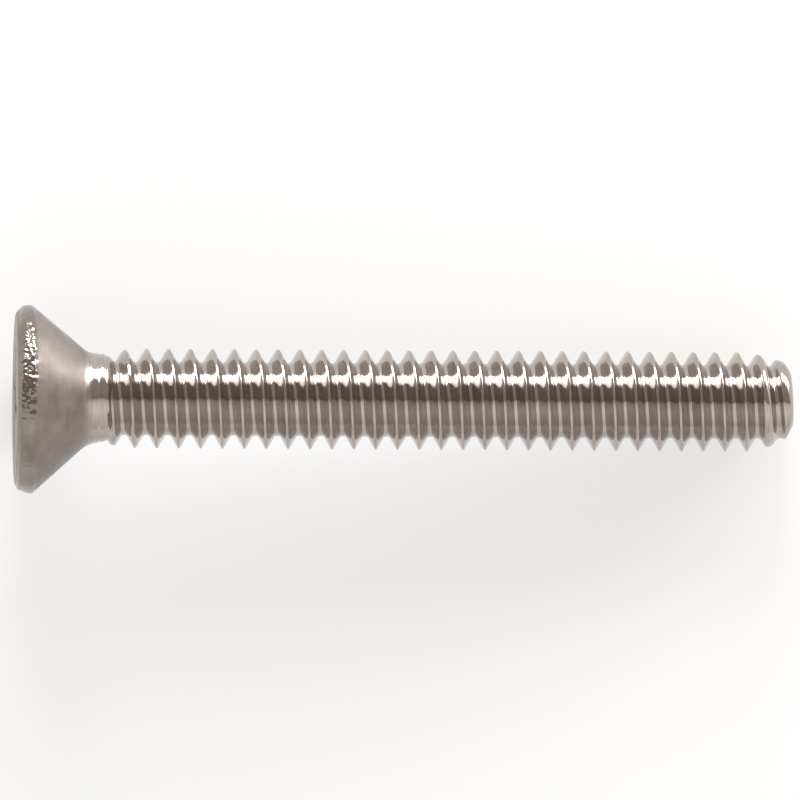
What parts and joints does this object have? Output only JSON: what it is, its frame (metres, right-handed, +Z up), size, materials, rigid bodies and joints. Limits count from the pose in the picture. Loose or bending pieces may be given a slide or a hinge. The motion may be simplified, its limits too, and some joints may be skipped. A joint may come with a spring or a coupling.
{
  "type": "countersunk machine screw",
  "caption": "Countersunk machine screw with a flat cross-recessed head, lying on its side, in stainless steel.",
  "frame": {"origin": "centre of the flat face of the head, on the screw's axis", "axes": "+Z up from the table, +X from the head to the tip; the axis dips 3.48 degrees towards the tip"},
  "size_m": [0.0379, 0.0092, 0.0091],
  "materials": {
    "stainless": "rolled and turned stainless steel, bright on the thread and dull on the rim of the head"
  },
  "bodies": {
    "root": {"screw": "stainless"}
  },
  "joints": []
}
